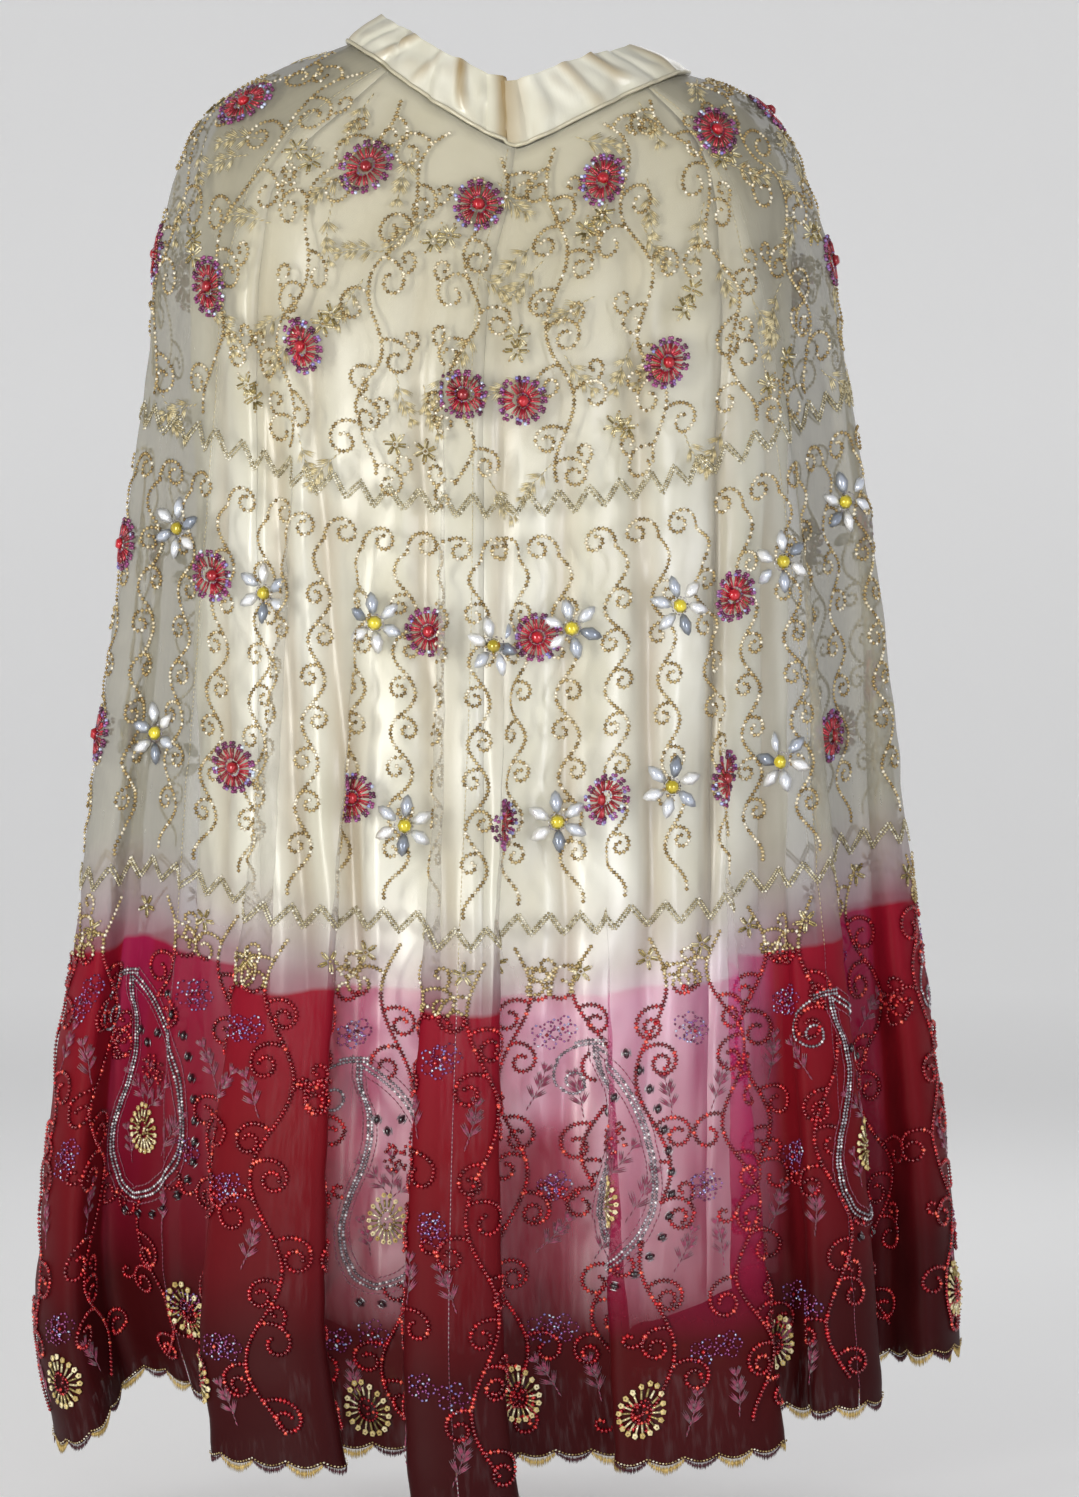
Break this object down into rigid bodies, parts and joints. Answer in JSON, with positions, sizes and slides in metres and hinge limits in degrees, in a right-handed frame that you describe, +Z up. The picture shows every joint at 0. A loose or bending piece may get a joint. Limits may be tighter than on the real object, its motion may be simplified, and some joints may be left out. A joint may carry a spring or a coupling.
{
  "type": "lehenga skirt",
  "caption": "Full-length flared lehenga skirt: satin waistband and inner skirt under a sheer dip-dyed overskirt standing in deep folds, open at waist and hem.",
  "frame": {"origin": "centre of the waistband ring, level with the top edge at the centre front, where the wearer's waist holds the skirt", "axes": "+Z up the wearer's body, -Y out of the skirt's front, +X to the viewer's right when the front is seen"},
  "size_m": [0.6836, 0.4514, 1.0982],
  "materials": {
    "cream_satin": "smooth satin, soft sheen",
    "dip_dyed_net": "sheer crepe, crimson dip-dyed to maroon below, embroidered",
    "gold_fringe_thread": "short thread fringe"
  },
  "bodies": {
    "root": {"waistband_front": "cream_satin", "waistband_back": "cream_satin", "lining_back_left": "cream_satin", "lining_side_left": "cream_satin", "lining_front_left": "cream_satin", "lining_front_right": "cream_satin", "lining_side_right": "cream_satin", "lining_back_right": "cream_satin", "sheer_back_left": "dip_dyed_net", "sheer_side_left": "dip_dyed_net", "sheer_front_left": "dip_dyed_net", "sheer_front_right": "dip_dyed_net", "sheer_side_right": "dip_dyed_net", "sheer_back_right": "dip_dyed_net", "fringe_back_left": "gold_fringe_thread", "fringe_side_left": "gold_fringe_thread", "fringe_front_left": "gold_fringe_thread", "fringe_front_right": "gold_fringe_thread", "fringe_side_right": "gold_fringe_thread", "fringe_back_right": "gold_fringe_thread"}
  },
  "joints": []
}
